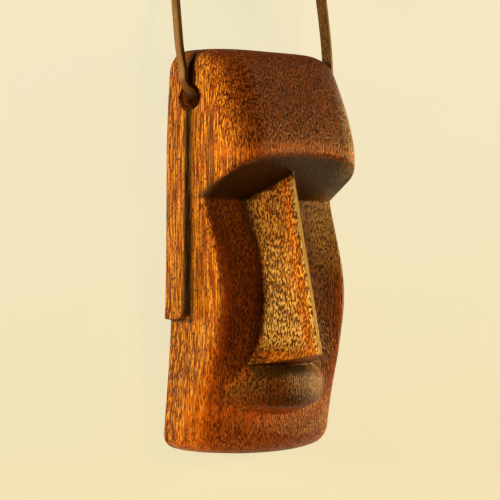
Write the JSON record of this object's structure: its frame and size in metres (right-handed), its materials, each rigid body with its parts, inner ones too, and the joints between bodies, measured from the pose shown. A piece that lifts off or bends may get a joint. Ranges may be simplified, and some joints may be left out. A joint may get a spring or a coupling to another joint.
{
  "type": "carved wooden moai head pendant",
  "caption": "Small carved wooden moai head pendant, lying on its flat back, with a long leather lace threaded from ear to ear and wound in a coil.",
  "frame": {"origin": "middle of the head's flat back, on the surface that the pendant lies on", "axes": "+Z out of the back towards the tip of the nose, +Y from the foot to the crown, +X to the right of someone who looks at the face"},
  "size_m": [0.0321, 0.0931, 0.0178],
  "materials": {
    "wood": "oiled reddish brown, polished on the outer faces",
    "leather": "plain brown lace, smooth face and dull cut edges"
  },
  "bodies": {
    "root": {"moai_head": "wood", "lace_left": "leather", "lace_right": "leather", "lace_coil": "leather", "lace_knot": "leather"}
  },
  "joints": []
}
